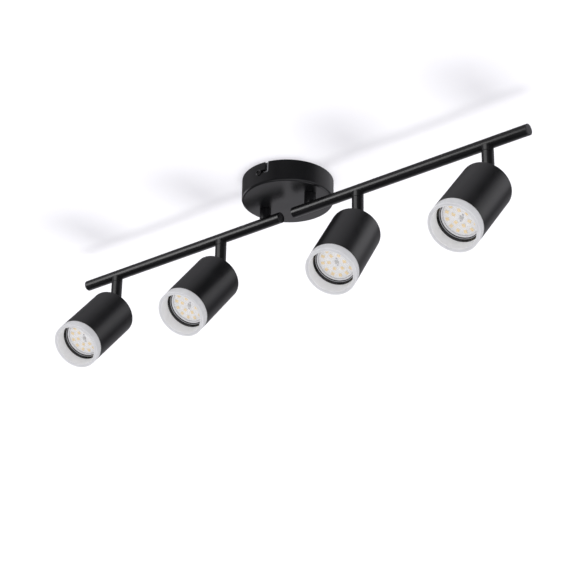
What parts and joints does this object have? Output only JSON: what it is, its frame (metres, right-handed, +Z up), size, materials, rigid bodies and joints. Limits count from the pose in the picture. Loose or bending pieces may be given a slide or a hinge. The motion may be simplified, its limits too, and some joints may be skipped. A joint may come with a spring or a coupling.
{
  "type": "track lighting fixture",
  "caption": "Ceiling spotlight bar: round canopy, two swivelling arms, and cylindrical heads with frosted rings that swivel and tilt.",
  "frame": {"origin": "centre of the ceiling bracket's screw pattern, on the ceiling plane", "axes": "+Z up towards the ceiling, X along the arms, the heads lean towards -Y at rest"},
  "size_m": [0.605, 0.1331, 0.1744],
  "materials": {
    "black_metal": "satin powder coat, fine grain",
    "black_plastic": "satin moulded",
    "gloss_black": "gloss",
    "black_screw": "black oxide",
    "zinc_steel": "zinc plated",
    "terminal_plastic": "moulded",
    "lead_sheath": "silicone sheath",
    "ceramic": "unglazed ceramic",
    "lamp_shell": "semi-gloss",
    "board_white": "solder mask",
    "lamp_lens": "clear",
    "frosted_acrylic": "frosted, translucent"
  },
  "bodies": {
    "root": {"canopy": "black_metal", "ceiling_bracket": "zinc_steel", "canopy_screws": "black_screw", "terminal_block": "terminal_plastic"},
    "left_arm": {"left_arm_tube": "black_metal", "left_arm_end_caps": "black_plastic", "left_arm_post": "black_metal", "left_stem_stubs": "black_metal", "left_arm_fasteners": "zinc_steel", "left_arm_leads": "lead_sheath"},
    "right_arm": {"right_arm_tube": "black_metal", "right_arm_end_caps": "black_plastic", "right_arm_post": "black_metal", "right_stem_stubs": "black_metal", "right_arm_fasteners": "zinc_steel", "right_arm_leads": "lead_sheath"},
    "stem_1": {"swivel_stem_1": "black_metal"},
    "head_1": {"pivot_rivets_1": "zinc_steel", "back_cap_1": "black_metal", "housing_1": "black_metal", "lamp_holder_1": "ceramic", "lamp_body_1": "lamp_shell", "led_board_1": "board_white", "lamp_cover_1": "lamp_lens", "retaining_ring_1": "gloss_black", "frosted_ring_1": "frosted_acrylic", "head_leads_1": "lead_sheath"},
    "stem_2": {"swivel_stem_2": "black_metal"},
    "head_2": {"pivot_rivets_2": "zinc_steel", "back_cap_2": "black_metal", "housing_2": "black_metal", "lamp_holder_2": "ceramic", "lamp_body_2": "lamp_shell", "led_board_2": "board_white", "lamp_cover_2": "lamp_lens", "retaining_ring_2": "gloss_black", "frosted_ring_2": "frosted_acrylic", "head_leads_2": "lead_sheath"},
    "stem_3": {"swivel_stem_3": "black_metal"},
    "head_3": {"pivot_rivets_3": "zinc_steel", "back_cap_3": "black_metal", "housing_3": "black_metal", "lamp_holder_3": "ceramic", "lamp_body_3": "lamp_shell", "led_board_3": "board_white", "lamp_cover_3": "lamp_lens", "retaining_ring_3": "gloss_black", "frosted_ring_3": "frosted_acrylic", "head_leads_3": "lead_sheath"},
    "stem_4": {"swivel_stem_4": "black_metal"},
    "head_4": {"pivot_rivets_4": "zinc_steel", "back_cap_4": "black_metal", "housing_4": "black_metal", "lamp_holder_4": "ceramic", "lamp_body_4": "lamp_shell", "led_board_4": "board_white", "lamp_cover_4": "lamp_lens", "retaining_ring_4": "gloss_black", "frosted_ring_4": "frosted_acrylic", "head_leads_4": "lead_sheath"}
  },
  "joints": [
    {"name": "left_arm_swivel", "type": "hinge", "parent": "root", "child": "left_arm", "pos_m": [-0.031, 0, -0.025], "axis": [0, 0, 1], "range_deg": [-90, 90]},
    {"name": "right_arm_swivel", "type": "hinge", "parent": "root", "child": "right_arm", "pos_m": [0.031, 0, -0.025], "axis": [0, 0, 1], "range_deg": [-90, 90]},
    {"name": "head_1_swivel", "type": "hinge", "parent": "left_arm", "child": "stem_1", "pos_m": [-0.2545, 0, -0.0502], "axis": [0, 0, 1], "range_deg": [-170, 170]},
    {"name": "head_1_tilt", "type": "hinge", "parent": "stem_1", "child": "head_1", "pos_m": [-0.2545, 0, -0.085], "axis": [-0.9986, -0.0523, 0], "range_deg": [-42.1, 47.9]},
    {"name": "head_2_swivel", "type": "hinge", "parent": "left_arm", "child": "stem_2", "pos_m": [-0.0945, 0, -0.0502], "axis": [0, 0, 1], "range_deg": [-170, 170]},
    {"name": "head_2_tilt", "type": "hinge", "parent": "stem_2", "child": "head_2", "pos_m": [-0.0945, 0, -0.085], "axis": [-0.9997, 0.0227, 0], "range_deg": [-40.3, 49.7]},
    {"name": "head_3_swivel", "type": "hinge", "parent": "right_arm", "child": "stem_3", "pos_m": [0.0945, 0, -0.0502], "axis": [0, 0, 1], "range_deg": [-170, 170]},
    {"name": "head_3_tilt", "type": "hinge", "parent": "stem_3", "child": "head_3", "pos_m": [0.0945, 0, -0.085], "axis": [-0.9945, -0.1045, 0], "range_deg": [-36.2, 53.8]},
    {"name": "head_4_swivel", "type": "hinge", "parent": "right_arm", "child": "stem_4", "pos_m": [0.2545, 0, -0.0502], "axis": [0, 0, 1], "range_deg": [-170, 170]},
    {"name": "head_4_tilt", "type": "hinge", "parent": "stem_4", "child": "head_4", "pos_m": [0.2545, 0, -0.085], "axis": [-0.9934, 0.1149, 0], "range_deg": [-38.8, 51.2]}
  ]
}
